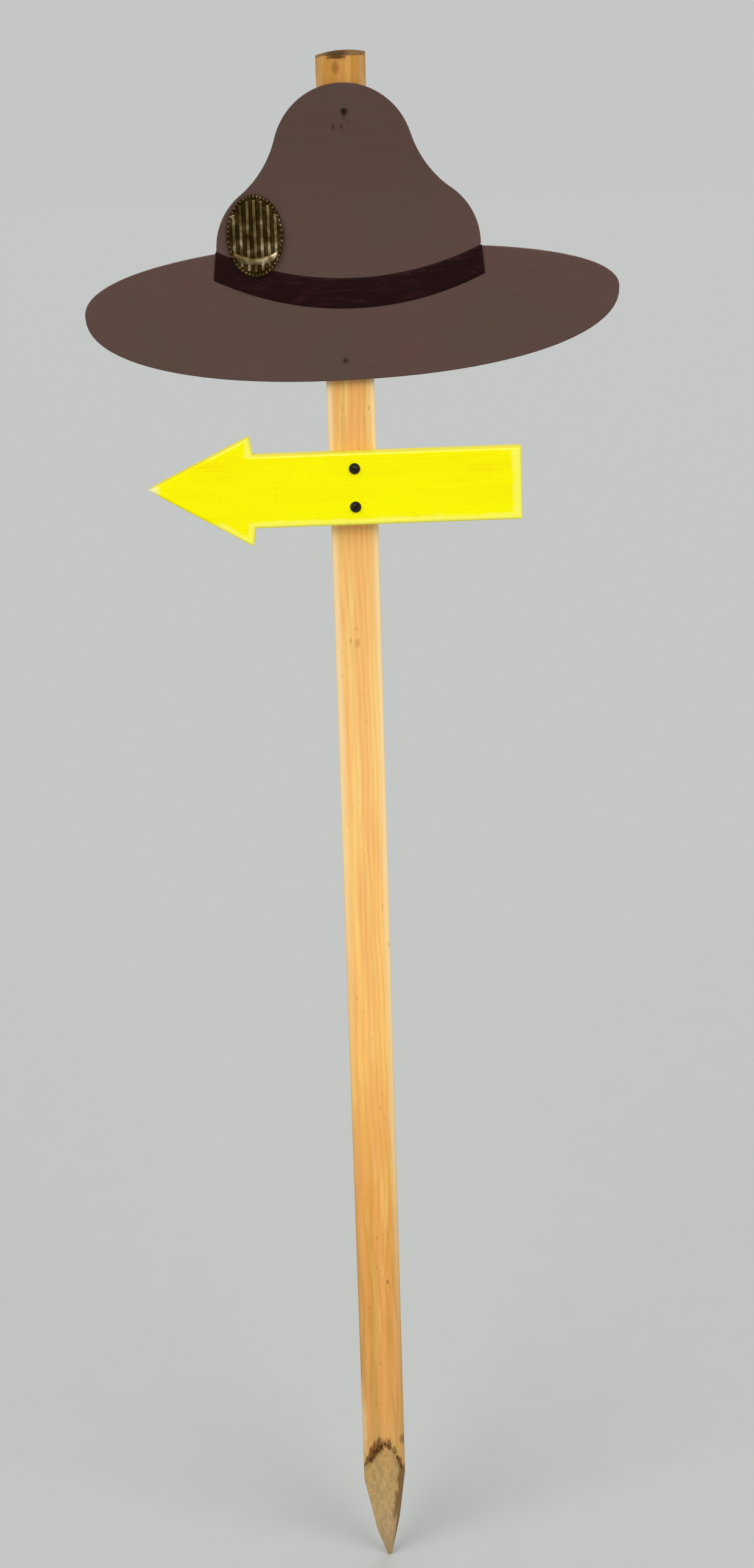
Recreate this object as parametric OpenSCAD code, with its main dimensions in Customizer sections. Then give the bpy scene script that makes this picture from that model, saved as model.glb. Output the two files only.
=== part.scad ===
/* [Stake] */
// Side of the square planed stake
stake_side = 38; // [32:0.5:45]
// Length of the stake from its tip to its top
stake_length = 1355; // [1200:5:1500]
// Radius on the four long arrises
arris_radius = 1.5; // [0.5:0.25:3]
// Radius of the dome that hammering left on the top
top_crown_radius = 75; // [60:1:110]
// Sideways place of the highest spot of the top
top_crown_shift = 4; // [-6:0.5:6]
// Radius by which the top is rounded over from front to rear
top_roll_radius = 40; // [32:1:80]
// Width of the crushed patch on the front of the top edge
bruise_width = 14; // [8:0.5:24]
// Depth of the crushed patch
bruise_depth = 1.4; // [0.4:0.1:2.5]
// Sideways place of the crushed patch
bruise_shift = -3; // [-6:0.5:6]

/* [Point] */
// Height at which the hollow front cut starts
front_cut_start = 134; // [110:1:160]
// Radius of the hollow that the blade left in the front and rear cuts
hollow_radius = 48; // [40:1:80]
// Height at which the first cut on each side starts
side_cut_start = 99; // [85:1:110]
// Height at which the second, steeper cut on each side starts
tip_cut_start = 78; // [68:1:84]
// Height at which the cut on the front right arris starts
arris_cut_start = 120; // [105:1:135]
// Thickness of the blunt tip, front to rear
tip_thickness = 5; // [3:0.5:8]
// Width of the blunt tip
tip_width = 3; // [3:0.5:8]
// Sideways place of the tip's middle
tip_shift = 2.5; // [-4:0.5:4]

/* [Hat board] */
// Thickness of the hat board
hat_thickness = 6; // [4:0.5:12]
// Gap from the top of the stake down to the top of the crown
hat_drop = 24; // [10:1:60]
// Sideways place of the middle of the brim
hat_shift = 3.3; // [-10:0.1:10]
// Half the width of the brim
brim_reach = 208.8; // [190:0.2:240]
// Tilt of the brim, right side up, in degrees
brim_tilt = 1.7; // [-3:0.1:3]
// Depth of the brim below its middle
brim_depth = 60.3; // [50:0.1:75]
// Height of the left half of the brim above its middle
brim_rise_left = 47; // [40:0.5:55]
// Height of the right half of the brim above its middle
brim_rise_right = 41; // [38:0.5:55]
// Fullness of the brim's curve, where 2 is an ellipse
brim_fullness = 2.2; // [2:0.05:2.6]
// Height of the crown above the middle of the brim
crown_rise = 163.2; // [150:0.2:175]
// Radius of the crown's dome
dome_radius = 54.5; // [46:0.5:58]
// Radius of the hollow between dome and shoulder
waist_radius = 80; // [60:1:100]
// Radius of the crown's shoulders
shoulder_radius = 51; // [42:0.5:54]
// Height of the shoulders' centres above the middle of the brim
shoulder_height = 42; // [40:0.5:52]
// Reach of the crown to the left of the stake's middle line
crown_reach_left = 100.5; // [95:0.5:108]
// Reach of the crown to the right of the stake's middle line
crown_reach_right = 104.5; // [98:0.5:108]
// Radius sanded on the hat board's edges
hat_edge_radius = 0.8; // [0.2:0.1:1.5]

/* [Hat band] */
// Thickness of the band strip
band_thickness = 1.2; // [0.6:0.1:3]
// Width of the band strip at its middle
band_width = 23; // [16:0.5:30]
// Radius of the band's curved edges
band_radius = 243; // [200:1:320]
// Height of the band's lower edge below the middle of the brim
band_sag = 4.8; // [0:0.2:12]
// Overhang of each end past the side of the crown
band_lap = 0.4; // [0:0.1:3]
// Slant of the band's ends, in degrees
band_flare = 6; // [0:0.5:12]

/* [Hat badge] */
// Width of the oval badge
badge_width = 44; // [30:0.5:46]
// Height of the oval badge
badge_height = 62; // [50:0.5:68]
// Distance of the badge's middle to the left of the stake's middle line
badge_offset = 70; // [60:0.5:76]
// Height of the badge's middle above the middle of the brim
badge_rise = 52; // [46:0.5:58]
// Thickness of the badge's plate
badge_plate = 1.2; // [0.8:0.1:2.5]
// Radius of the beads round the badge's rim
bead_radius = 1.3; // [0.8:0.1:1.8]
// Number of beads round the rim
bead_count = 48; // [24:2:60]
// Number of upright reeds on the badge's face
reed_count = 7; // [3:2:9]
// Height of the reeds above the plate
reed_relief = 1.6; // [0.8:0.1:2.2]
// Width of the curved riband across the badge's foot
riband_width = 7; // [5:0.5:9]
// Height of the riband above the plate
riband_relief = 2.1; // [1.6:0.1:2.6]
// Depth of the riband's middle below the badge's middle
riband_drop = 19; // [16:0.5:20]
// Radius of the riband's curve
riband_radius = 34; // [28:1:44]
// Radius of the badge's two pegs
peg_radius = 1; // [0.8:0.1:1.6]
// Length that each peg goes into the hat board
peg_depth = 4; // [2:0.5:5]
// Distance between the badge's two pegs
peg_spacing = 40; // [36:1:44]

/* [Hat nails] */
// Radius of the nails' shanks
nail_radius = 1; // [0.8:0.1:1.6]
// Radius of the nails' heads
nail_head_radius = 2.2; // [1.9:0.1:3.5]
// Thickness of the nails' heads
nail_head_height = 0.9; // [0.5:0.1:1.5]
// Length of the nails under the head
nail_length = 25; // [18:1:32]
// Sideways place of the upper nail
nail_upper_shift = 1.6; // [-8:0.2:8]
// Distance of the upper nail below the top of the crown
nail_upper_drop = 21; // [12:0.5:40]
// Sideways place of the lower nail
nail_lower_shift = -3.1; // [-8:0.1:8]
// Distance of the lower nail above the foot of the brim
nail_lower_rise = 15.5; // [8:0.5:30]

/* [Arrow board] */
// Thickness of the arrow board
arrow_thickness = 12; // [9:0.5:18]
// Distance from the top of the stake down to the middle of the two screws
arrow_drop = 332; // [325:1:420]
// Reach of the arrow's tip to the left of the screws
tip_reach = 165.8; // [140:0.1:200]
// Reach of the arrow's tail to the right of the screws
tail_reach = 133; // [100:0.5:180]
// Length of the arrow's head
head_length = 82.5; // [60:0.5:95]
// Height of the arrow's head across its barbs
head_height = 88; // [76:0.5:110]
// Height of the arrow's shaft
shaft_height = 58.6; // [48:0.2:66]
// Slope of the back of the head, measured along the shaft
head_rake = 2.5; // [0:0.5:8]
// Height of the arrow's middle line above the middle of the screws
arrow_rise = -0.8; // [-4:0.1:4]
// Height by which the tip was cut above the arrow's middle line
tip_skew = 4.6; // [-5:0.2:5]
// Tilt of the arrow, tail up, in degrees
arrow_tilt = 0.4; // [-2:0.1:2]
// Radius of the arrow's corners seen from the front
corner_radius = 1.2; // [0.6:0.2:6]
// Radius rubbed on the arrow's front edges
arrow_edge_radius = 2.4; // [0.5:0.1:2.6]
// Radius on the arrow's rear edges
arrow_rear_radius = 0.8; // [0.3:0.1:2]

/* [Arrow screws] */
// Radius of the screws' heads
screw_head_radius = 4.5; // [3.8:0.1:6]
// Height of the screws' round heads
screw_head_height = 3.3; // [2.4:0.1:3.6]
// Radius of the screws' plain shanks
screw_shank_radius = 2.4; // [2:0.1:3]
// Radius of the screws' cores below the shank
screw_core_radius = 1.7; // [1.2:0.1:1.9]
// Length of the screws under the head
screw_length = 38; // [32:1:44]
// Length that the plain shank goes into the stake
shank_bite = 3; // [0.5:0.5:8]
// Distance between the two screws
screw_spacing = 30.7; // [22:0.1:36]
// Sideways place of the screws
screw_shift = 1.2; // [-6:0.1:6]
// Width of the driver slot
slot_width = 1.2; // [0.8:0.1:1.8]
// Depth of the driver slot
slot_depth = 1.7; // [0.8:0.1:2.2]
// Angle of the upper screw's slot, in degrees
slot_turn_upper = 28; // [-90:1:90]
// Angle of the lower screw's slot, in degrees
slot_turn_lower = -52; // [-90:1:90]

/* [Fits] */
// Radial clearance round every shank, core and peg
drive_fit = 0.05; // [0.02:0.01:0.3]

/* [Hidden] */
$fn = 96;

// Steps in each quarter turn of an edge's rounding
edge_steps = 3;
// Least radius that the rounding of an edge leaves on a corner
least_radius = 0.2;
// Points round the badge's oval
oval_points = 96;
// Gap between the middles of the rim's beads and the reeds, in bead radii
field_margin = 1.5;
// Share of its pitch that each reed fills
reed_fill = 0.64;
// Steps in each arc of the crown and in each quarter of the brim
curve_steps = 16;
brim_steps = 22;
// Length of the points of nails and screws, in radii
point_taper = 3;
// Share of the arrow's head that lies between its tip and the hub of its faces
hub_share = 0.85;

half_side = stake_side / 2;
hat_front = -half_side - hat_thickness;
band_front = hat_front - band_thickness;
arrow_front = -half_side - arrow_thickness;

// Heights above the stake's tip
brim_middle = stake_length - hat_drop - crown_rise;
nail_upper_height = stake_length - hat_drop - nail_upper_drop;
nail_lower_height = brim_middle - brim_depth + nail_lower_rise;
badge_height_above = brim_middle + badge_rise;
screw_middle = stake_length - arrow_drop;

// Cuts that hew the point: turn about the stake from the front, the height where the cut
// starts, the distance from the stake's middle line at the tip, and the hollow's radius
flat_hollow = 220;
rear_cut_start = front_cut_start - 12;
front_arris_turn = 64;
rear_arris_turn = 225;
right_slant = 4;
left_slant = 6;
hewing_cuts = [
    [0, front_cut_start, tip_thickness / 2, hollow_radius],
    [front_arris_turn, arris_cut_start, tip_width + tip_shift, hollow_radius],
    [90, side_cut_start, 2 * tip_width + tip_shift, flat_hollow],
    [90 + right_slant, tip_cut_start, tip_width / 2 + tip_shift, flat_hollow],
    [180, rear_cut_start, tip_thickness / 2, hollow_radius],
    [rear_arris_turn, side_cut_start, tip_width, hollow_radius],
    [270, side_cut_start, 2 * tip_width - tip_shift, flat_hollow],
    [270 - left_slant, tip_cut_start, tip_width / 2 - tip_shift, flat_hollow]
];

// A point at a distance and angle from a centre
function polar(centre, radius, angle) = centre + radius * [cos(angle), sin(angle)];

// Points along an arc, from one angle up to just before the other
function arc(centre, radius, from, to) =
    [for (i = [0 : curve_steps - 1]) polar(centre, radius, from + (to - from) * i / curve_steps)];

// Angle of the line from one point to another
function bearing(from, to) = atan2(to.y - from.y, to.x - from.x);

// Centre of the arc that touches two discs from outside, on the right of the line a to b
function touching_centre(a, radius_a, b, radius_b, radius) =
    let (span = norm(b - a))
    let (along = (pow(radius_a + radius, 2) - pow(radius_b + radius, 2) + span * span) / (2 * span))
    let (aside = sqrt(pow(radius_a + radius, 2) - along * along))
    let (ahead = (b - a) / span)
    a + along * ahead + aside * [-ahead.y, ahead.x];

function reversed(list) = [for (i = [len(list) - 1 : -1 : 0]) list[i]];

// The right side of the crown, from its top down to the widest place of the shoulder
function crown_side(reach) =
    let (dome = [0, crown_rise - dome_radius])
    let (shoulder = [reach - shoulder_radius, shoulder_height])
    let (waist = touching_centre(dome, dome_radius, shoulder, shoulder_radius, waist_radius))
    concat(
        arc(dome, dome_radius, 90, bearing(dome, waist)),
        arc(waist, waist_radius, bearing(waist, dome) + 360, bearing(waist, shoulder) + 360),
        arc(shoulder, shoulder_radius, bearing(shoulder, waist), 0),
        [polar(shoulder, shoulder_radius, 0)]
    );

function signed_power(value, power) = sign(value) * pow(abs(value), power);

// A point on the brim at an angle, for a given rise, in the hat's own place
function brim_point(angle, rise) =
    let (along = brim_reach * signed_power(cos(angle), 2 / brim_fullness))
    let (across = rise * signed_power(sin(angle), 2 / brim_fullness))
    [
        hat_shift + along * cos(brim_tilt) - across * sin(brim_tilt),
        along * sin(brim_tilt) + across * cos(brim_tilt)
    ];

function brim_run(from, to, rise) =
    [for (i = [0 : brim_steps - 1]) brim_point(from + (to - from) * i / brim_steps, rise)];

// Angle on the brim at which it meets a crown of the given reach
function brim_angle(reach) = acos(pow(reach / brim_reach, brim_fullness / 2));

// The whole hat, clockwise from the top of the crown, as x and height above the brim's middle
hat_outline =
    let (right = crown_side(crown_reach_right))
    let (left = [for (p = reversed(crown_side(crown_reach_left))) [-p.x, p.y]])
    concat(
        right,
        brim_run(brim_angle(crown_reach_right - hat_shift), 0, brim_rise_right),
        brim_run(0, -90, brim_depth),
        brim_run(-90, -180, brim_depth),
        brim_run(180, 180 - brim_angle(crown_reach_left + hat_shift), brim_rise_left),
        [brim_point(180 - brim_angle(crown_reach_left + hat_shift), brim_rise_left)],
        [for (i = [0 : len(left) - 2]) left[i]]
    );

// The sharp arrow, clockwise from its tip, as x and height from the middle of the screws
arrow_corners =
    let (barb = head_length - tip_reach)
    let (notch = barb + head_rake)
    [for (p = [
        [-tip_reach, tip_skew],
        [barb, head_height / 2],
        [notch, shaft_height / 2],
        [tail_reach, shaft_height / 2],
        [tail_reach, -shaft_height / 2],
        [notch, -shaft_height / 2],
        [barb, -head_height / 2]
    ]) [
        screw_shift + p.x * cos(arrow_tilt) - p.y * sin(arrow_tilt),
        arrow_rise + p.x * sin(arrow_tilt) + p.y * cos(arrow_tilt)
    ]];

function unit(v) = v / norm(v);

// Inward normal of the edge that leaves a corner of a clockwise outline
function inward(outline, i) =
    let (count = len(outline))
    let (edge = unit(outline[(i + 1) % count] - outline[i % count]))
    [edge.y, -edge.x];

// A clockwise outline with every edge moved inward by the same amount
function inset(outline, amount) =
    let (count = len(outline))
    [for (i = [0 : count - 1])
        let (before = inward(outline, i + count - 1))
        let (after = inward(outline, i))
        outline[i] + amount * (before + after) / (1 + before * after)];

// A clockwise outline inset by an amount, with what the inset leaves of its corners' rounding
function rounded_inset(outline, radius, amount) =
    let (left = max(radius - amount, least_radius))
    let (core = inset(outline, amount + left))
    let (count = len(outline))
    [for (i = [0 : count - 1])
        let (before = inward(outline, i + count - 1))
        let (after = inward(outline, i))
        let (hollow = before.x * after.y - before.y * after.x > 0)
        for (k = [0 : hollow ? 0 : edge_steps])
            let (blend = unit((edge_steps - k) * before + k * after))
            hollow ? inset(outline, amount)[i] : core[i] - left * blend];

// A board laid on its back with rounded edges, made of rings that follow one outline. Its two
// faces are triangles round a hub, a place that sees the whole outline
module board(rings, hub, thickness, front, rear) {
    count = len(rings[0]);
    last = (len(rings) - 1) * count;
    heights = concat(
        [for (k = [0 : edge_steps]) rear * (1 - cos(90 * k / edge_steps))],
        [for (k = [0 : edge_steps]) thickness - front * (1 - sin(90 * k / edge_steps))]
    );
    points = [for (r = [0 : len(rings) - 1]) for (p = rings[r]) [p.x, p.y, heights[r]]];
    hubs = [[hub.x, hub.y, 0], [hub.x, hub.y, thickness]];
    walls = [for (r = [0 : len(rings) - 2]) for (i = [0 : count - 1])
        [r * count + i, r * count + (i + 1) % count,
            (r + 1) * count + (i + 1) % count, (r + 1) * count + i]];
    rear_face = [for (i = [0 : count - 1]) [last + count, (i + 1) % count, i]];
    front_face = [for (i = [0 : count - 1]) [last + count + 1, last + i, last + (i + 1) % count]];
    polyhedron(concat(points, hubs), concat(rear_face, front_face, walls));
}

// Insets of the rings of a board, from its rear face round to its front face
function edge_insets(front, rear) = concat(
    [for (k = [0 : edge_steps]) rear * (1 - sin(90 * k / edge_steps))],
    [for (k = [0 : edge_steps]) front * (1 - cos(90 * k / edge_steps))]
);

// A point on an oval, at a height over its plane
function oval_point(half_width, half_height, angle, height) =
    [half_width * cos(angle), half_height * sin(angle), height];

function oval(half_width, half_height) =
    [for (i = [0 : oval_points - 1])
        let (p = oval_point(half_width, half_height, 360 * i / oval_points, 0)) [p.x, p.y]];

// Stands what is drawn flat upright, with its back on the given plane and its face forward
module upright(back, height) {
    translate([0, back, height]) rotate([90, 0, 0]) children();
}

module rounded_square(side, radius) {
    square([side - 2 * radius, side], center = true);
    square([side, side - 2 * radius], center = true);
    for (x = [-1, 1], y = [-1, 1])
        translate([x, y] * (side / 2 - radius)) circle(radius);
}

// One hollow cut of the blade, which starts at a height and ends at the tip
module hewing_cut(turn, start, reach, hollow) {
    support = half_side * (abs(cos(turn)) + abs(sin(turn)));
    lean = atan((support - reach) / start);
    rotate([0, 0, turn]) translate([0, -support, start]) rotate([lean, 0, 0])
        translate([0, -hollow, 0]) cylinder(r = hollow, h = 3 * start, center = true);
}

// What hammering took off the top: a dome, rounded over more steeply from front to rear
module top_wear() {
    reach = 4 * half_side;
    depth = half_side;
    difference() {
        translate([-reach / 2, -reach / 2, stake_length - depth]) cube([reach, reach, 2 * depth]);
        intersection() {
            translate([top_crown_shift, 0, stake_length - top_crown_radius])
                sphere(top_crown_radius, $fn = 128);
            translate([0, 0, stake_length - top_roll_radius]) rotate([0, 90, 0])
                cylinder(r = top_roll_radius, h = 2 * reach, center = true, $fn = 128);
        }
    }
}

// Dent that a blow left in the front of the top edge, struck at 45 degrees
module bruise() {
    radius = (pow(bruise_width / 2, 2) + bruise_depth * bruise_depth) / (2 * bruise_depth);
    edge = stake_length - top_roll_radius + sqrt(pow(top_roll_radius, 2) - pow(half_side, 2));
    away = (radius - bruise_depth) / sqrt(2);
    translate([bruise_shift, -half_side - away, edge + away]) sphere(radius, $fn = 128);
}

// Round wire nail along +Y, with its head's underside at the origin
module nail(grow) {
    tip = point_taper * nail_radius;
    rotate([-90, 0, 0]) rotate_extrude() polygon([
        [0, -nail_head_height], [nail_head_radius, -nail_head_height], [nail_head_radius, 0],
        [nail_radius + grow, 0], [nail_radius + grow, nail_length - tip], [0, nail_length + grow]
    ]);
}

// Screw's plain shank and core along +Y, with the head's underside at the origin
module screw_stem(grow) {
    shank = arrow_thickness + shank_bite;
    tip = point_taper * screw_core_radius;
    rotate([-90, 0, 0]) rotate_extrude() polygon([
        [0, 0], [screw_shank_radius + grow, 0], [screw_shank_radius + grow, shank + grow],
        [screw_core_radius + grow, shank + grow + screw_shank_radius - screw_core_radius],
        [screw_core_radius + grow, screw_length - tip], [0, screw_length + grow]
    ]);
}

module screw_head() {
    dome = (pow(screw_head_radius, 2) + pow(screw_head_height, 2)) / (2 * screw_head_height);
    rotate([90, 0, 0]) rotate_extrude() intersection() {
        translate([0, screw_head_height - dome]) circle(dome);
        square([screw_head_radius, screw_head_height]);
    }
}

module screw(slot_turn) {
    screw_stem(0);
    difference() {
        screw_head();
        rotate([0, slot_turn, 0]) translate([0, -screw_head_height, 0])
            cube([3 * screw_head_radius, 2 * slot_depth, slot_width], center = true);
    }
}

module place_hat_nail(upper) {
    translate([
        upper ? nail_upper_shift : nail_lower_shift,
        hat_front,
        upper ? nail_upper_height : nail_lower_height
    ]) children();
}

module place_screw(upper) {
    translate([screw_shift, arrow_front, screw_middle + (upper ? 0.5 : -0.5) * screw_spacing])
        children();
}

// The badge's two pegs, from the back of its plate into the hat board
module pegs(grow) {
    length = band_thickness + peg_depth + grow;
    for (side = [-0.5, 0.5])
        translate([-badge_offset, band_front, badge_height_above + side * peg_spacing])
            rotate([-90, 0, 0]) cylinder(r = peg_radius + grow, h = length, $fn = 32);
}

module stake() {
    color("burlywood") difference() {
        linear_extrude(stake_length) rounded_square(stake_side, arris_radius);
        for (cut = hewing_cuts) hewing_cut(cut[0], cut[1], cut[2], cut[3]);
        top_wear();
        bruise();
        for (upper = [true, false]) {
            place_hat_nail(upper) nail(drive_fit);
            place_screw(upper) screw_stem(drive_fit);
        }
    }
}

module hat_board() {
    insets = edge_insets(hat_edge_radius, hat_edge_radius);
    hub = [0, shoulder_height / 2];
    color("saddlebrown") difference() {
        upright(-half_side, brim_middle) board(
            [for (a = insets) inset(hat_outline, a)], hub,
            hat_thickness, hat_edge_radius, hat_edge_radius
        );
        for (upper = [true, false]) place_hat_nail(upper) nail(drive_fit);
        pegs(drive_fit);
    }
}

module hat_band() {
    // Height of the corner where the band's upper edge meets the side of the crown
    corner = band_width - band_sag + band_radius - sqrt(pow(band_radius, 2) - pow(crown_reach_right, 2));
    spread = band_width * tan(band_flare);
    left = crown_reach_left + band_lap;
    right = crown_reach_right + band_lap;
    middle = (crown_reach_right - crown_reach_left) / 2;
    color("black") difference() {
        upright(hat_front, brim_middle) linear_extrude(band_thickness) intersection() {
            difference() {
                translate([middle, band_radius - band_sag]) circle(band_radius, $fn = 360);
                translate([middle, band_radius - band_sag + band_width]) circle(band_radius, $fn = 360);
            }
            polygon([
                [-left + spread, corner + band_width], [right - spread, corner + band_width],
                [right + 2 * spread, corner - 2 * band_width], [-left - 2 * spread, corner - 2 * band_width]
            ]);
        }
        pegs(drive_fit);
    }
}

// Upright rib with round ends that stands up from the badge's plate
module reed(reach, half_width) {
    radius = (half_width * half_width + reed_relief * reed_relief) / (2 * reed_relief);
    straight = reach - half_width;
    translate([0, 0, badge_plate + reed_relief - radius]) {
        rotate([90, 0, 0]) cylinder(r = radius, h = 2 * straight, center = true, $fn = 48);
        for (end = [-1, 1]) translate([0, end * straight, 0]) sphere(radius, $fn = 48);
    }
}

// Curved riband with a rounded face, which crosses the reeds
module riband(field) {
    half_width = riband_width / 2;
    radius = (half_width * half_width + riband_relief * riband_relief) / (2 * riband_relief);
    intersection() {
        translate([0, riband_radius - riband_drop, badge_plate + riband_relief - radius])
            rotate_extrude($fn = 128) translate([riband_radius, 0]) circle(radius, $fn = 48);
        linear_extrude(badge_plate + 2 * riband_relief) polygon(oval(field.x, field.y));
    }
}

module hat_badge() {
    rim = [badge_width / 2 - bead_radius, badge_height / 2 - bead_radius];
    field = rim - field_margin * [bead_radius, bead_radius];
    pitch = 2 * field.x / reed_count;
    half_reed = reed_fill * pitch / 2;
    color("darkgoldenrod") {
        upright(band_front, badge_height_above) translate([-badge_offset, 0]) intersection() {
            union() {
                linear_extrude(badge_plate) polygon(oval(badge_width / 2, badge_height / 2));
                for (bead = [0 : bead_count - 1])
                    translate(oval_point(rim.x, rim.y, 360 * bead / bead_count, badge_plate))
                        sphere(bead_radius, $fn = 24);
                for (i = [0 : reed_count - 1]) {
                    place = (i + 0.5 - reed_count / 2) * pitch;
                    reach = field.y * sqrt(1 - pow(place / (field.x + half_reed), 2));
                    translate([place, 0, 0]) reed(reach, half_reed);
                }
                riband(field);
            }
            translate([0, 0, badge_height]) cube(2 * badge_height, center = true);
        }
        pegs(0);
    }
}

module hat_nail_upper() {
    color("dimgray") place_hat_nail(true) nail(0);
}

module hat_nail_lower() {
    color("dimgray") place_hat_nail(false) nail(0);
}

module arrow_board() {
    insets = edge_insets(arrow_edge_radius, arrow_rear_radius);
    hub = [hub_share * head_length - tip_reach, arrow_rise];
    color("gold") difference() {
        upright(-half_side, screw_middle) board(
            [for (a = insets) rounded_inset(arrow_corners, corner_radius, a)], hub,
            arrow_thickness, arrow_edge_radius, arrow_rear_radius
        );
        for (upper = [true, false]) place_screw(upper) screw_stem(drive_fit);
    }
}

module arrow_screw_upper() {
    color("black") place_screw(true) screw(slot_turn_upper);
}

module arrow_screw_lower() {
    color("black") place_screw(false) screw(slot_turn_lower);
}

stake();
hat_board();
hat_band();
hat_badge();
hat_nail_upper();
hat_nail_lower();
arrow_board();
arrow_screw_upper();
arrow_screw_lower();
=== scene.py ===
import math

import bpy
import numpy as np
from mathutils import Matrix, Vector


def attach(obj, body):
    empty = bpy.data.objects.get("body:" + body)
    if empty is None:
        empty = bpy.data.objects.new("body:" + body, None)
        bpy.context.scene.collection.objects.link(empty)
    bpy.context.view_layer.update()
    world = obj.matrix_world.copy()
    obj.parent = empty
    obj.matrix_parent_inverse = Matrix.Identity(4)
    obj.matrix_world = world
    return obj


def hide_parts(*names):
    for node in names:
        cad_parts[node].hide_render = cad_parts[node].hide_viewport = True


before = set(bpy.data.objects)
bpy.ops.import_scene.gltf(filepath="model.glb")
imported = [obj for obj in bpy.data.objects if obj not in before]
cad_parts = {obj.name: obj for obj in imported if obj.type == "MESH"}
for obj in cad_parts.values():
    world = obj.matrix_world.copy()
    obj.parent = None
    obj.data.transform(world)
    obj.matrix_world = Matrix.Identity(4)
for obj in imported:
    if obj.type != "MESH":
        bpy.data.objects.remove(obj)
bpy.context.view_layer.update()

# A direction sign: a board cut as a broad-brimmed hat and a yellow arrow, on a pointed stake.
# The CAD nodes keep their shapes and get their finishes here. The band is laid again as a strip of
# leathercloth, and the torn and crushed fibres of the stake's two worked ends are added.
# Lengths are in millimetres in the stake's own frame: X right, -Y out of the painted faces, Z up.

random = np.random.default_rng(1355)

METRES = 0.001
# The Mix node's colour sockets by number, and settings that many nodes share. A Map Range's
# sockets are 0 the value, 1 and 2 its limits, and 3 and 4 what the node gives at those limits.
FACTOR, A, B, RESULT = 0, 6, 7, 2
COLOURS = {"out": RESULT, "data_type": "RGBA"}
SMOOTH = {"interpolation_type": "SMOOTHSTEP"}

HALF_SIDE = 19.0
STAKE_TOP = 1355.0
HAT_FRONT = -25.0
BADGE_FRONT = -29.5
BRIM_MIDDLE = 1167.8
CROWN_LEFT, CROWN_RIGHT = -100.5, 104.5
SCREW_MIDDLE = np.array([1.2, 1023.0])
LOWER_NAIL = (-3.1, 0.0, 1123.0)
# The hollow front cut leaves the stake's face in an arch, z = ARCH_TOP - ARCH_FALL (x - ARCH_X)²
ARCH_X, ARCH_TOP, ARCH_FALL = -1.0, 134.0, 0.085
# The growth rings and the place beside the stake that they are drawn about
RING_PITCH = 2.8
PITH_X, PITH_Y = -26.0, 52.0


def linear(code):
    """A colour written as sRGB hex, as the linear red, green, blue and alpha of a socket."""
    parts = [int(code[i:i + 2], 16) / 255 for i in (1, 3, 5)]
    return [p / 12.92 if p <= 0.04045 else ((p + 0.055) / 1.055) ** 2.4 for p in parts] + [1.0]


def add(tree, kind, inputs=None, out=0, stops=None, **settings):
    """Adds a node of a kind to a tree with its settings, gives each input a value or links it to
    another node's output, and returns the output asked for. Stops are a ramp's places and colours."""
    node = tree.nodes.new("ShaderNode" + kind)
    for name, value in settings.items():
        setattr(node, name, value)
    for i, (place, code) in enumerate(stops or []):
        points = node.color_ramp.elements
        point = points[i] if i < 2 else points.new(place)
        point.position, point.color = place, linear(code)
    for key, value in (inputs or {}).items():
        if isinstance(value, bpy.types.NodeSocket):
            tree.links.new(value, node.inputs[key])
        else:
            node.inputs[key].default_value = value
    return node.outputs[out] if node.outputs else None


def new_finish(name):
    """A material, its empty tree and the place on the piece in millimetres."""
    made = bpy.data.materials.new(name)
    made.use_nodes = True
    tree = made.node_tree
    tree.nodes.clear()
    place = add(tree, "TexCoord", out="Object")
    mm = add(tree, "VectorMath", {0: place, "Scale": 1 / METRES}, operation="SCALE")
    return made, tree, mm


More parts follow.
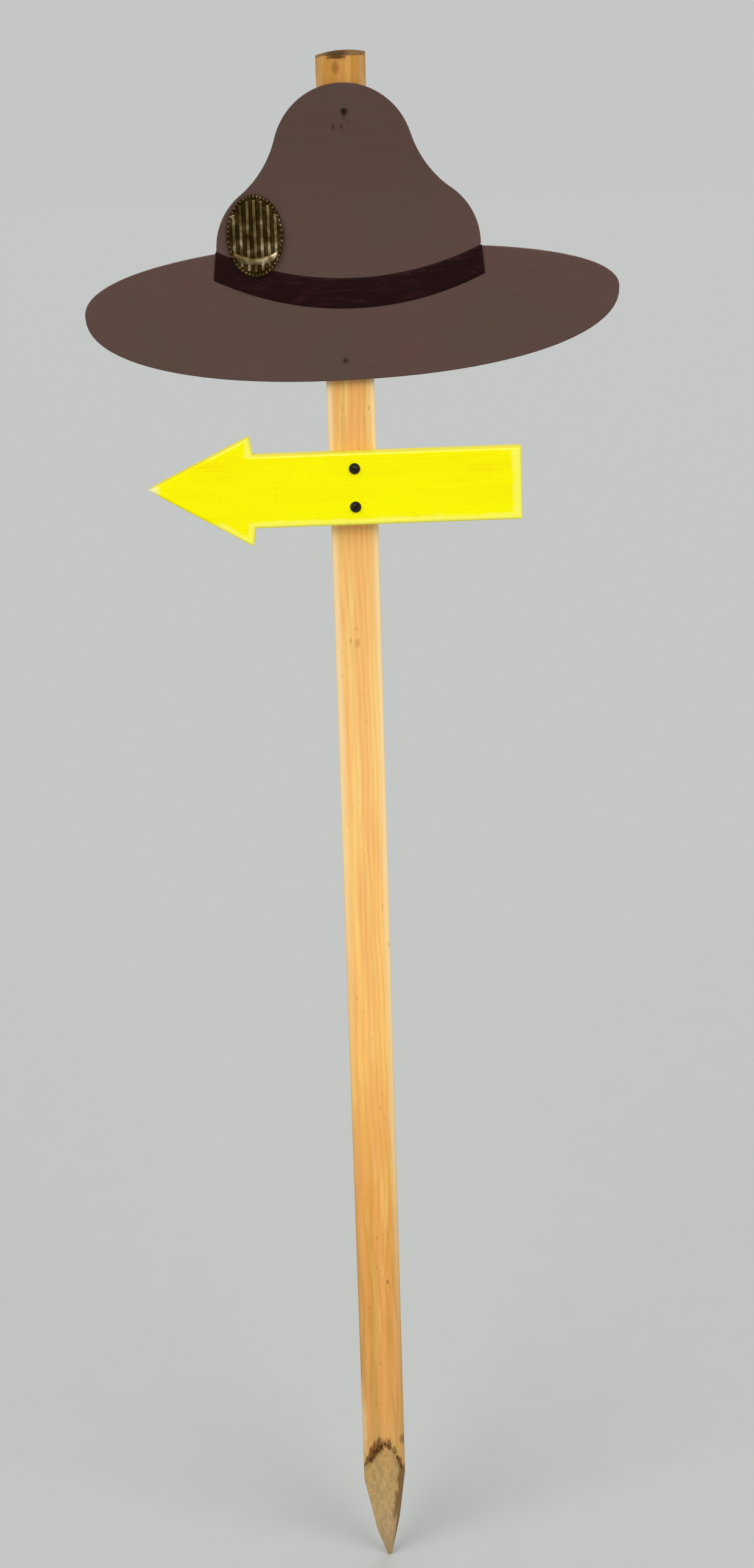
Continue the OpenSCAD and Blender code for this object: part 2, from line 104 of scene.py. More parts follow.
def growth_rings(tree, mm):
    """Growth rings as cylinders RING_PITCH apart, about a pith beside the stake which wanders 9 mm.
    Gives the place seen from the pith, the share of dark late wood and the knots' dark hearts."""
    slow = add(tree, "VectorMath", {0: mm, 1: (0.012, 0.012, 0.0036)}, operation="MULTIPLY")
    wander = add(tree, "TexNoise", {"Vector": slow, "Scale": 1.0, "Detail": 2.0}, out="Color")
    drifted = add(tree, "VectorMath", {0: wander, 1: (18.0, 18.0, 0.0), 2: mm}, operation="MULTIPLY_ADD")
    from_pith = add(
        tree, "VectorMath", {0: drifted, 1: (1.0, 1.0, 0.0), 2: (-PITH_X, -PITH_Y, 0.0)},
        operation="MULTIPLY_ADD",
    )
    ring = add(tree, "VectorMath", {0: from_pith}, out="Value", operation="LENGTH")

    # Pin knots as place, size and darkness: the rings swell round each, and its heart is dark
    heart = None
    for knot, size, dark in (
        ((18.3, -19.0, 627.0), 1.6, 1.0), ((8.1, -19.0, 301.0), 1.4, 0.55),
        ((-1.0, -19.0, 893.0), 2.4, 0.3), ((-4.0, -19.0, 1341.8), 3.0, 0.6),
        ((19.0, 5.0, 962.0), 3.4, 1.0), ((-19.0, -4.0, 505.0), 4.2, 1.0),
        ((4.0, 19.0, 742.0), 4.6, 1.0), ((-7.0, 19.0, 226.0), 2.4, 1.0),
        ((-19.0, 8.0, 1010.0), 2.2, 1.0), ((19.0, -2.0, 392.0), 2.6, 1.0),
    ):
        offset = add(tree, "VectorMath", {0: mm, 1: knot}, operation="SUBTRACT")
        flat = add(tree, "VectorMath", {0: offset, 1: (1.0, 1.0, 0.6)}, operation="MULTIPLY")
        distance = add(tree, "VectorMath", {0: flat}, out="Value", operation="LENGTH")
        swell = add(
            tree, "MapRange", {0: distance, 1: 0.0, 2: 4.5 * size, 3: 1.5 * size * dark, 4: 0.0},
            **SMOOTH,
        )
        ring = add(tree, "Math", {0: ring, 1: swell}, operation="ADD")
        core = add(
            tree, "MapRange", {0: distance, 1: 0.5 * size, 2: 1.3 * size, 3: dark, 4: 0.0}, **SMOOTH
        )
        heart = core if heart is None else add(tree, "Math", {0: heart, 1: core}, operation="MAXIMUM")

    turn = add(tree, "Math", {0: ring, 1: RING_PITCH}, operation="DIVIDE")
    part = add(tree, "Math", {0: turn}, operation="FRACT")
    late_in = add(tree, "MapRange", {0: part, 1: 0.35, 2: 0.88, 3: 0.0, 4: 1.0}, **SMOOTH)
    late_out = add(tree, "MapRange", {0: part, 1: 0.9, 2: 1.0, 3: 1.0, 4: 0.0}, **SMOOTH)
    late = add(tree, "Math", {0: late_in, 1: late_out}, operation="MULTIPLY")
    return from_pith, late, heart


def soil_and_facet_shade(tree, mm, nx, grime, hewn):
    """The share of earth packed under the arch of the front cut and in one splash above it, and of
    painted shade along the facet on the right arris and its border with the front cut."""
    x, y, z = (add(tree, "SeparateXYZ", {0: mm}, out=i) for i in range(3))
    # The arch where the hollow front cut leaves the face, and how far a place is below it
    shifted = add(tree, "Math", {0: x, 1: -ARCH_X}, operation="ADD")
    squared = add(tree, "Math", {0: shifted, 1: 2.0}, operation="POWER")
    arch = add(tree, "Math", {0: squared, 1: -ARCH_FALL, 2: ARCH_TOP}, operation="MULTIPLY_ADD")
    below = add(tree, "Math", {0: arch, 1: z}, operation="SUBTRACT")
    tear = add(tree, "Math", {0: grime, 1: 22.0, 2: -11.0}, operation="MULTIPLY_ADD")
    torn = add(tree, "Math", {0: below, 1: tear}, operation="ADD")
    # The soil is packed 13 mm deep left of the middle and 4 mm deep on the right and near the edge
    depth = add(tree, "MapRange", {0: x, 1: -6.0, 2: 1.0, 3: 13.0, 4: 3.5}, **SMOOTH)
    depth = add(tree, "MapRange", {0: x, 1: -17.0, 2: -12.5, 3: 4.0, 4: depth}, **SMOOTH)
    inner = add(tree, "Math", {0: depth, 1: torn}, operation="SUBTRACT")
    packed = add(tree, "MapRange", {0: inner, 1: -2.0, 2: 5.0, 3: 0.0, 4: 1.0}, **SMOOTH)
    started = add(tree, "MapRange", {0: torn, 1: -6.0, 2: -1.0, 3: 0.0, 4: 1.0}, **SMOOTH)
    front = add(tree, "MapRange", {0: y, 1: -9.0, 2: -14.0, 3: 0.0, 4: 0.92})
    soil_and_shade = add(tree, "Math", {0: packed, 1: started}, operation="MULTIPLY")
    soil_and_shade = add(tree, "Math", {0: soil_and_shade, 1: front}, operation="MULTIPLY")
    # On the right it has flaked off in places
    flaked = add(tree, "MapRange", {0: grime, 1: 0.42, 2: 0.56, 3: 0.35, 4: 1.0})
    flaked = add(tree, "MapRange", {0: x, 1: -4.0, 2: 4.0, 3: 1.0, 4: flaked})
    soil_and_shade = add(tree, "Math", {0: soil_and_shade, 1: flaked}, operation="MULTIPLY")
    # The facet on the right arris is painted dark over its whole length: painted shade
    right_facet_shade = add(tree, "MapRange", {0: nx, 1: 0.7, 2: 0.84, 3: 0.0, 4: 0.75}, **SMOOTH)
    right_facet_shade = add(tree, "Math", {0: right_facet_shade, 1: hewn}, operation="MULTIPLY")
    # The painted shade reaches 4 mm over the edge onto the front cut, whose right edge is at
    # x = 4.8 + 0.119 z
    border = add(tree, "Math", {0: z, 1: -0.119, 2: x}, operation="MULTIPLY_ADD")
    border = add(tree, "Math", {0: grime, 1: 9.0, 2: border}, operation="MULTIPLY_ADD")
    border = add(tree, "MapRange", {0: border, 1: 3.6, 2: 7.6, 3: 0.0, 4: 0.8}, **SMOOTH)
    high = add(tree, "MapRange", {0: z, 1: 30.0, 2: 60.0, 3: 0.0, 4: 1.0}, **SMOOTH)
    border = add(tree, "Math", {0: border, 1: high}, operation="MULTIPLY")
    border = add(tree, "Math", {0: border, 1: hewn}, operation="MULTIPLY")
    right_facet_shade = add(tree, "Math", {0: right_facet_shade, 1: border}, operation="MAXIMUM")
    soil_and_shade = add(tree, "Math", {0: soil_and_shade, 1: right_facet_shade}, operation="MAXIMUM")
    # A splash on the right arris, above the cut
    splash = add(tree, "VectorMath", {0: mm, 1: (17.5, -19.0, 137.0)}, operation="SUBTRACT")
    splash = add(tree, "VectorMath", {0: splash, 1: (0.3, 0.2, 0.16)}, operation="MULTIPLY")
    splash = add(tree, "VectorMath", {0: splash}, out="Value", operation="LENGTH")
    splash = add(tree, "Math", {0: grime, 1: 1.2, 2: splash}, operation="MULTIPLY_ADD")
    splash = add(tree, "MapRange", {0: splash, 1: 0.9, 2: 1.8, 3: 0.6, 4: 0.0}, **SMOOTH)
    soil_and_shade = add(tree, "Math", {0: soil_and_shade, 1: splash}, operation="MAXIMUM")
    return soil_and_shade


def planed_pine():
    """Pine, planed square, oiled and left outdoors: honey coloured growth rings cut lengthwise, paler
    rubbed arrises with painted shade along them near the ends, pin knots, and a hewn point that the
    ground has stained, with painted shade on the facet of its right arris."""
    made, tree, mm = new_finish("planed_pine_oiled")
    x, y, z = (add(tree, "SeparateXYZ", {0: mm}, out=i) for i in range(3))
    facing = add(tree, "NewGeometry", out="True Normal")
    nx, nz = (add(tree, "SeparateXYZ", {0: facing}, out=i) for i in (0, 2))

    from_pith, late, heart = growth_rings(tree, mm)

    # Fibres are 0.3 mm wide and drawn at 0.6 mm, so that they show
    strands = add(tree, "VectorMath", {0: mm, 1: (1.7, 1.7, 0.03)}, operation="MULTIPLY")
    fibre = add(tree, "TexNoise", {"Vector": strands, "Scale": 1.0, "Detail": 4.0, "Roughness": 0.6})
    broad = add(tree, "VectorMath", {0: mm, 1: (0.11, 0.11, 0.009)}, operation="MULTIPLY")
    cloud = add(tree, "TexNoise", {"Vector": broad, "Scale": 1.0, "Detail": 3.0})

    # Up the stake: greyed tip, earth-stained point, damp foot, honey length, weathered top
    height = add(tree, "MapRange", {0: z, 1: 0.0, 2: STAKE_TOP, 3: 0.0, 4: 1.0})
    base = add(tree, "ValToRGB", {0: height}, stops=[
        (0.0, "#857661"), (1.0, "#BA822F"), (0.03, "#B59C72"), (0.06, "#BBA066"),
        (0.09, "#BB9454"), (0.115, "#C5934C"), (0.21, "#CC8F3C"), (0.28, "#DC9D43"),
        (0.4, "#FBC268"), (0.6, "#FDCB7A"), (0.8, "#E6AE60"),
    ])
    warm = add(tree, "MapRange", {0: cloud, 1: 0.44, 2: 0.66, 3: 0.0, 4: 0.5}, **SMOOTH)
    # A warm streak about 10 mm wide, where one broad ring is cut along its length
    off_middle = add(tree, "Math", {0: cloud, 1: 14.0, 2: x}, operation="MULTIPLY_ADD")
    off_middle = add(tree, "Math", {0: off_middle, 1: 9.0}, operation="SUBTRACT")
    off_middle = add(tree, "Math", {0: off_middle}, operation="ABSOLUTE")
    broad_ring = add(tree, "MapRange", {0: off_middle, 1: 2.0, 2: 8.0, 3: 0.5, 4: 0.0}, **SMOOTH)
    warm = add(tree, "Math", {0: warm, 1: broad_ring}, operation="MAXIMUM")
    dry = add(tree, "MapRange", {0: z, 1: 90.0, 2: 170.0, 3: 0.3, 4: 1.0})
    warm = add(tree, "Math", {0: warm, 1: dry}, operation="MULTIPLY")
    struck = add(tree, "MapRange", {0: z, 1: STAKE_TOP - 45.0, 2: STAKE_TOP - 20.0, 3: 1.0, 4: 0.4})
    warm = add(tree, "Math", {0: warm, 1: struck}, operation="MULTIPLY")
    colour = add(tree, "Mix", {FACTOR: warm, A: base, B: linear("#F4AC64")}, **COLOURS)
    fresh = add(tree, "MapRange", {0: cloud, 1: 0.32, 2: 0.5, 3: 0.5, 4: 0.0}, **SMOOTH)
    fresh = add(tree, "Math", {0: fresh, 1: struck}, operation="MULTIPLY")
    darkened = add(tree, "MapRange", {0: z, 1: 200.0, 2: 600.0, 3: 0.35, 4: 1.0})
    fresh = add(tree, "Math", {0: fresh, 1: darkened}, operation="MULTIPLY")
    colour = add(tree, "Mix", {FACTOR: fresh, A: colour, B: linear("#F8D27E")}, **COLOURS)
    late_share = add(tree, "Math", {0: late, 1: 0.15}, operation="MULTIPLY")
    colour = add(tree, "Mix", {FACTOR: late_share, A: colour, B: linear("#B9772F")}, **COLOURS)
    streak = add(tree, "MapRange", {0: fibre, 1: 0.3, 2: 0.7, 3: 0.93, 4: 1.07})
    colour = add(tree, "VectorMath", {0: colour, "Scale": streak}, operation="SCALE")

    # Short dark resin flecks, 0.7 mm wide and up to 8 mm long
    sparse = add(tree, "VectorMath", {0: mm, 1: (0.7, 0.7, 0.1)}, operation="MULTIPLY")
    dots = add(tree, "TexNoise", {"Vector": sparse, "Scale": 1.0, "Detail": 1.0})
    fleck = add(tree, "MapRange", {0: dots, 1: 0.72, 2: 0.8, 3: 0.0, 4: 0.4}, **SMOOTH)
    fleck = add(tree, "Math", {0: fleck, 1: heart}, operation="MAXIMUM")
    colour = add(tree, "Mix", {FACTOR: fleck, A: colour, B: linear("#8A4E1E")}, **COLOURS)

    # Rubbed arrises: within about 4 mm of a long edge the oil is worn pale, lower down on the right.
    # The left arris is left darker lower down as painted shade
    side_x = add(tree, "Math", {0: x}, operation="ABSOLUTE")
    side_y = add(tree, "Math", {0: y}, operation="ABSOLUTE")
    sides = add(tree, "Math", {0: side_x, 1: side_y}, operation="ADD")
    ragged = add(tree, "Math", {0: cloud, 1: 5.0, 2: sides}, operation="MULTIPLY_ADD")
    rubbed = add(
        tree, "MapRange",
        {0: ragged, 1: 2 * HALF_SIDE - 4.2, 2: 2 * HALF_SIDE + 1.0, 3: 0.0, 4: 1.0},
        **SMOOTH,
    )
    left_wear_above_shade = add(tree, "MapRange", {0: z, 1: 480.0, 2: 760.0, 3: 0.1, 4: 0.72})
    worn_right = add(tree, "MapRange", {0: z, 1: 200.0, 2: 420.0, 3: 0.15, 4: 0.75})
    worn = add(tree, "MapRange", {0: x, 1: -8.0, 2: 8.0, 3: left_wear_above_shade, 4: worn_right})
    worn = add(tree, "Math", {0: worn, 1: struck}, operation="MULTIPLY")
    rubbed = add(tree, "Math", {0: rubbed, 1: worn}, operation="MULTIPLY")
    colour = add(tree, "Mix", {FACTOR: rubbed, A: colour, B: linear("#FBE0AA")}, **COLOURS)

    # Near the foot the arrises are painted darker over 6 mm, less and less up to 700 mm: painted
    # shade of the turned arrises. Near the top they are painted darker too
    painted_arris_shade = add(
        tree, "MapRange",
        {0: ragged, 1: 2 * HALF_SIDE - 5.0, 2: 2 * HALF_SIDE + 2.0, 3: 0.0, 4: 0.5},
        **SMOOTH,
    )
    near_foot = add(tree, "MapRange", {0: z, 1: 150.0, 2: 700.0, 3: 1.0, 4: 0.15})
    near_top = add(tree, "MapRange", {0: z, 1: STAKE_TOP - 40.0, 2: STAKE_TOP - 15.0, 3: 0.0, 4: 1.5})
    near_end = add(tree, "Math", {0: near_foot, 1: near_top}, operation="MAXIMUM")
    painted_arris_shade = add(tree, "Math", {0: painted_arris_shade, 1: near_end}, operation="MULTIPLY")
    colour = add(tree, "Mix", {FACTOR: painted_arris_shade, A: colour, B: linear("#A5763A")}, **COLOURS)

    # Every hewn facet faces a little down, which tells it from the planed faces
    hewn = add(tree, "MapRange", {0: nz, 1: -0.03, 2: -0.09, 3: 0.0, 4: 1.0}, **SMOOTH)
    rough = add(tree, "VectorMath", {0: mm, 1: (0.3, 0.3, 0.09)}, operation="MULTIPLY")
    grime = add(tree, "TexNoise", {"Vector": rough, "Scale": 1.0, "Detail": 5.0, "Roughness": 0.65})
    ground = add(tree, "MapRange", {0: grime, 1: 0.4, 2: 0.64, 3: 0.0, 4: 0.75}, **SMOOTH)
    ground = add(tree, "Math", {0: ground, 1: hewn}, operation="MULTIPLY")
    colour = add(tree, "Mix", {FACTOR: ground, A: colour, B: linear("#9C8658")}, **COLOURS)
    # Fibres that the blade lifted stand out pale
    lifted = add(tree, "MapRange", {0: fibre, 1: 0.52, 2: 0.7, 3: 0.0, 4: 0.5}, **SMOOTH)
    lifted = add(tree, "Math", {0: lifted, 1: hewn}, operation="MULTIPLY")
    colour = add(tree, "Mix", {FACTOR: lifted, A: colour, B: linear("#D2B380")}, **COLOURS)

    # A scrape has bared pale wood along the left arris, over about 100 mm from the cut upwards
    scrape = add(tree, "VectorMath", {0: mm, 1: (-19.0, -19.0, 152.0)}, operation="SUBTRACT")
    scrape = add(tree, "VectorMath", {0: scrape, 1: (0.2, 0.2, 0.019)}, operation="MULTIPLY")
    scrape = add(tree, "VectorMath", {0: scrape}, out="Value", operation="LENGTH")
    scrape = add(tree, "Math", {0: grime, 1: 1.2, 2: scrape}, operation="MULTIPLY_ADD")
    scrape = add(tree, "MapRange", {0: scrape, 1: 0.9, 2: 1.7, 3: 0.6, 4: 0.0}, **SMOOTH)
    colour = add(tree, "Mix", {FACTOR: scrape, A: colour, B: linear("#E4C694")}, **COLOURS)

    # Earth under the cut's arch, and painted shade on the facet of the right arris, in dark brown
    soil_and_shade = soil_and_facet_shade(tree, mm, nx, grime, hewn)
    colour = add(tree, "Mix", {FACTOR: soil_and_shade, A: colour, B: linear("#6A4312")}, **COLOURS)

    # End grain at the top has gone grey-brown, and the bruise that blows left on its front is coloured
    # near black
    end_grain = add(tree, "MapRange", {0: nz, 1: 0.1, 2: 0.5, 3: 0.0, 4: 0.9}, **SMOOTH)
    cut = add(tree, "Mix", {FACTOR: late, A: linear("#7C6140"), B: linear("#55391D")}, **COLOURS)
    # Checks have opened along the pith rays: dark lines that cross the rings, 0.4 mm wide
    pith_x, pith_y = (add(tree, "SeparateXYZ", {0: from_pith}, out=i) for i in range(2))
    angle = add(tree, "Math", {0: pith_x, 1: pith_y}, operation="ARCTAN2")
    angle = add(tree, "Math", {0: grime, 1: 0.05, 2: angle}, operation="MULTIPLY_ADD")
    ray = add(tree, "Math", {0: angle, 1: 0.13}, operation="DIVIDE")
    ray = add(tree, "Math", {0: ray}, operation="FRACT")
    check = add(tree, "MapRange", {0: ray, 1: 0.03, 2: 0.07, 3: 0.8, 4: 0.0}, **SMOOTH)
    opened = add(tree, "MapRange", {0: grime, 1: 0.44, 2: 0.54, 3: 0.0, 4: 1.0})
    check = add(tree, "Math", {0: check, 1: opened}, operation="MULTIPLY")
    cut = add(tree, "Mix", {FACTOR: check, A: cut, B: linear("#2E1E10")}, **COLOURS)
    colour = add(tree, "Mix", {FACTOR: end_grain, A: colour, B: cut}, **COLOURS)
    from_bruise = add(
        tree, "VectorMath", {0: mm, 1: (-3.0, -14.0, STAKE_TOP - 2.5)}, operation="SUBTRACT"
    )
    from_bruise = add(
        tree, "VectorMath", {0: from_bruise, 1: (0.1, 0.09, 0.3)}, operation="MULTIPLY"
    )
    away = add(tree, "VectorMath", {0: from_bruise}, out="Value", operation="LENGTH")
    splinter = add(tree, "VectorMath", {0: mm, 1: (0.9, 0.9, 0.3)}, operation="MULTIPLY")
    splinter = add(tree, "TexNoise", {"Vector": splinter, "Scale": 1.0, "Detail": 3.0})
    away = add(tree, "Math", {0: splinter, 1: 1.6, 2: away}, operation="MULTIPLY_ADD")
    crushed = add(tree, "MapRange", {0: away, 1: 1.4, 2: 1.85, 3: 0.92, 4: 0.0}, **SMOOTH)
    colour = add(tree, "Mix", {FACTOR: crushed, A: colour, B: linear("#46300F")}, **COLOURS)

    # Raised grain, 0.12 mm on the planed faces and 0.4 mm where it was hewn
    relief = add(tree, "Math", {0: late, 1: 0.5, 2: fibre}, operation="MULTIPLY_ADD")
    lift = add(tree, "MapRange", {0: hewn, 1: 0.0, 2: 1.0, 3: 0.00012, 4: 0.0004})
    bump = add(tree, "Bump", {"Strength": 1.0, "Distance": lift, "Height": relief})
    dull = add(tree, "MapRange", {0: fibre, 1: 0.3, 2: 0.7, 3: 0.5, 4: 0.68})
    # The oil has gone from the end grain, which is dead matt
    oil = add(tree, "MapRange", {0: end_grain, 1: 0.0, 2: 0.9, 3: 0.28, 4: 0.02})
    surface = add(
        tree, "BsdfPrincipled",
        {"Base Color": colour, "Roughness": dull, "Specular IOR Level": oil, "Normal": bump},
    )
    add(tree, "OutputMaterial", {"Surface": surface})
    return made


def torn_fibre():
    """Torn pine fibres full of earth: dark brown strands, paler where they broke last."""
    made, tree, mm = new_finish("torn_pine_fibre")
    fine = add(tree, "VectorMath", {0: mm, 1: (1.3, 1.3, 0.3)}, operation="MULTIPLY")
    strand = add(tree, "TexNoise", {"Vector": fine, "Scale": 1.0, "Detail": 3.0})
    colour = add(tree, "ValToRGB", {0: strand}, stops=[
        (0.35, "#3D230A"), (0.7, "#A87534"), (0.52, "#6A4114"),
    ])
    bump = add(tree, "Bump", {"Strength": 0.6, "Distance": 0.0002, "Height": strand})
    surface = add(
        tree, "BsdfPrincipled",
        {"Base Color": colour, "Roughness": 0.85, "Specular IOR Level": 0.2, "Normal": bump},
    )
    add(tree, "OutputMaterial", {"Surface": surface})
    return made


def matt_brown_paint():
    """Plywood under two coats of matt brown paint: faint level brush marks, a mottle of redder and
    greener brown, plies that show in the sawn edge, and edges rubbed thin here and there."""
    made, tree, mm = new_finish("matt_brown_paint_on_plywood")
    y = add(tree, "SeparateXYZ", {0: mm}, out=1)
    facing = add(tree, "NewGeometry", out="True Normal")
    ny = add(tree, "SeparateXYZ", {0: facing}, out=1)

    # Bristles leave lines 0.9 mm apart that run 60 mm
    stroke = add(tree, "VectorMath", {0: mm, 1: (0.016, 0.4, 1.1)}, operation="MULTIPLY")
    brush = add(tree, "TexNoise", {"Vector": stroke, "Scale": 1.0, "Detail": 3.0, "Roughness": 0.55})
    wide = add(tree, "VectorMath", {0: mm, 1: (0.016, 0.1, 0.022)}, operation="MULTIPLY")
    mottle = add(tree, "TexNoise", {"Vector": wide, "Scale": 1.0, "Detail": 4.0, "Roughness": 0.6})
    colour = add(tree, "ValToRGB", {0: mottle}, stops=[
        (0.3, "#534338"), (0.7, "#5A413D"), (0.5, "#57423B"),
    ])
    tone = add(tree, "MapRange", {0: brush, 1: 0.25, 2: 0.75, 3: 0.9, 4: 1.1})
    colour = add(tree, "VectorMath", {0: colour, "Scale": tone}, operation="SCALE")
    # The crown is painted a shade darker towards its top: painted shade
    z = add(tree, "SeparateXYZ", {0: mm}, out=2)
    crown_top_shade = add(
        tree, "MapRange", {0: z, 1: BRIM_MIDDLE + 60.0, 2: BRIM_MIDDLE + 115.0, 3: 1.0, 4: 0.9}
    )
    colour = add(tree, "VectorMath", {0: colour, "Scale": crown_top_shade}, operation="SCALE")

    # Dust that has settled in the paint, in specks of half a millimetre
    specks = add(tree, "TexNoise", {"Vector": mm, "Scale": 1.4, "Detail": 2.0})
    dust = add(tree, "MapRange", {0: specks, 1: 0.66, 2: 0.78, 3: 0.0, 4: 0.3}, **SMOOTH)
    colour = add(tree, "Mix", {FACTOR: dust, A: colour, B: linear("#7A6958")}, **COLOURS)

    # Old dents under the paint, 3 mm wide and 5 mm high: one against the upper nail, three below it.
    # Their hollows are painted dark as painted shade
    dents_and_shade = None
    for dent_x, dent_z, depth in (
        (1.4, 1306.2, 0.6), (-7.0, 1298.6, 0.75), (-0.8, 1298.6, 0.68), (4.4, 1301.0, 0.35),
    ):
        dent = add(tree, "VectorMath", {0: mm, 1: (dent_x, HAT_FRONT, dent_z)}, operation="SUBTRACT")
        dent = add(tree, "VectorMath", {0: dent, 1: (0.6, 0.6, 0.34)}, operation="MULTIPLY")
        dent = add(tree, "VectorMath", {0: dent}, out="Value", operation="LENGTH")
        dent = add(tree, "MapRange", {0: dent, 1: 0.2, 2: 1.2, 3: depth, 4: 0.0}, **SMOOTH)
        dents_and_shade = dent if dents_and_shade is None else add(tree, "Math", {0: dents_and_shade, 1: dent}, operation="MAXIMUM")
    colour = add(tree, "Mix", {FACTOR: dents_and_shade, A: colour, B: linear("#30201A")}, **COLOURS)

    # Five plies of 1.2 mm in the edge, as dark glue lines under the paint
    edge = add(tree, "Math", {0: ny}, operation="ABSOLUTE")
    edge = add(tree, "MapRange", {0: edge, 1: 0.15, 2: 0.5, 3: 1.0, 4: 0.0}, **SMOOTH)
    ply = add(tree, "Math", {0: y, 1: 1.2}, operation="DIVIDE")
    ply = add(tree, "Math", {0: ply, 1: 1.0}, operation="PINGPONG")
    glue = add(tree, "MapRange", {0: ply, 1: 0.0, 2: 0.16, 3: 1.0, 4: 0.0}, **SMOOTH)
    glue = add(tree, "Math", {0: glue, 1: edge}, operation="MULTIPLY")
    dark = add(tree, "Math", {0: glue, 1: 0.5}, operation="MULTIPLY")
    colour = add(tree, "Mix", {FACTOR: dark, A: colour, B: linear("#33271F")}, **COLOURS)

    # The rounding of the front edge, where handling rubs the paint
    turned = add(tree, "Math", {0: ny, 1: -0.72}, operation="SUBTRACT")
    turned = add(tree, "Math", {0: turned}, operation="ABSOLUTE")
    rim = add(tree, "MapRange", {0: turned, 1: 0.12, 2: 0.24, 3: 1.0, 4: 0.0}, **SMOOTH)
    knocks = add(tree, "TexNoise", {"Vector": mm, "Scale": 0.09, "Detail": 5.0, "Roughness": 0.7})
    worn = add(tree, "MapRange", {0: knocks, 1: 0.5, 2: 0.66, 3: 0.0, 4: 0.75}, **SMOOTH)
    worn = add(tree, "Math", {0: worn, 1: rim}, operation="MULTIPLY")
    colour = add(tree, "Mix", {FACTOR: worn, A: colour, B: linear("#8B7258")}, **COLOURS)

    relief = add(tree, "Math", {0: glue, 1: -0.8, 2: brush}, operation="MULTIPLY_ADD")
    relief = add(tree, "Math", {0: dents_and_shade, 1: -3.0, 2: relief}, operation="MULTIPLY_ADD")
    bump = add(tree, "Bump", {"Strength": 1.0, "Distance": 0.00012, "Height": relief})
    dull = add(tree, "MapRange", {0: brush, 1: 0.3, 2: 0.7, 3: 0.7, 4: 0.84})
    surface = add(
        tree, "BsdfPrincipled",
        {"Base Color": colour, "Roughness": dull, "Specular IOR Level": 0.18, "Normal": bump},
    )
    add(tree, "OutputMaterial", {"Surface": surface})
    return made


def leathercloth():
    """Embossed leathercloth, maroon gone nearly black: pebbled grain of 1.1 mm, a dull sheen, and
    redder scuffs along the strip."""
    made, tree, mm = new_finish("maroon_leathercloth")
    pebble = add(tree, "TexVoronoi", {"Vector": mm, "Scale": 0.9}, out="Distance")
    along = add(tree, "VectorMath", {0: mm, 1: (0.05, 0.3, 0.28)}, operation="MULTIPLY")
    scuff = add(tree, "TexNoise", {"Vector": along, "Scale": 1.0, "Detail": 5.0, "Roughness": 0.65})
    rubbed = add(tree, "MapRange", {0: scuff, 1: 0.48, 2: 0.74, 3: 0.0, 4: 1.0}, **SMOOTH)
    colour = add(
        tree, "Mix", {FACTOR: rubbed, A: linear("#200706"), B: linear("#36131A")}, **COLOURS
    )
    gully = add(tree, "MapRange", {0: pebble, 1: 0.35, 2: 0.7, 3: 0.0, 4: 0.6}, **SMOOTH)
    colour = add(tree, "Mix", {FACTOR: gully, A: colour, B: linear("#120403")}, **COLOURS)
    bump = add(tree, "Bump", {"Strength": 1.0, "Distance": 0.0001, "Height": pebble}, invert=True)
    dull = add(tree, "MapRange", {0: rubbed, 1: 0.0, 2: 1.0, 3: 0.46, 4: 0.66})
    surface = add(
        tree, "BsdfPrincipled",
        {"Base Color": colour, "Roughness": dull, "Specular IOR Level": 0.08, "Normal": bump},
    )
    add(tree, "OutputMaterial", {"Surface": surface})
    return made


def old_brass():
    """Stamped brass, unpolished for years: black-brown in the hollows, greenish gold on the face and
    bright on the high spots, partly rubbed by hands and partly painted glints."""
    made, tree, mm = new_finish("old_stamped_brass")
    y = add(tree, "SeparateXYZ", {0: mm}, out=1)
    bloom = add(tree, "TexNoise", {"Vector": mm, "Scale": 0.35, "Detail": 5.0, "Roughness": 0.7})
    # How far a place stands behind the highest spots, blurred by tarnish, and by patches of wear that
    # also serve as painted glints
    behind = add(tree, "Math", {0: y, 1: -BADGE_FRONT}, operation="ADD")
    behind = add(tree, "Math", {0: bloom, 1: 3.0, 2: behind}, operation="MULTIPLY_ADD")
    patch = add(tree, "TexNoise", {"Vector": mm, "Scale": 0.13, "Detail": 2.0})
    behind = add(tree, "Math", {0: patch, 1: 5.0, 2: behind}, operation="MULTIPLY_ADD")
    place = add(tree, "MapRange", {0: behind, 1: 6.4, 2: 3.1, 3: 0.0, 4: 1.0})
    colour = add(tree, "ValToRGB", {0: place}, stops=[
        (0.0, "#33260F"), (1.0, "#DACDB0"), (0.3, "#4F3F22"), (0.6, "#766541"), (0.82, "#A39374"),
    ])
    dull = add(tree, "MapRange", {0: bloom, 1: 0.3, 2: 0.7, 3: 0.3, 4: 0.55})
    bump = add(tree, "Bump", {"Strength": 0.5, "Distance": 0.00008, "Height": bloom})
    surface = add(
        tree, "BsdfPrincipled",
        {"Base Color": colour, "Metallic": 1.0, "Roughness": dull, "Normal": bump},
    )
    add(tree, "OutputMaterial", {"Surface": surface})
    return made


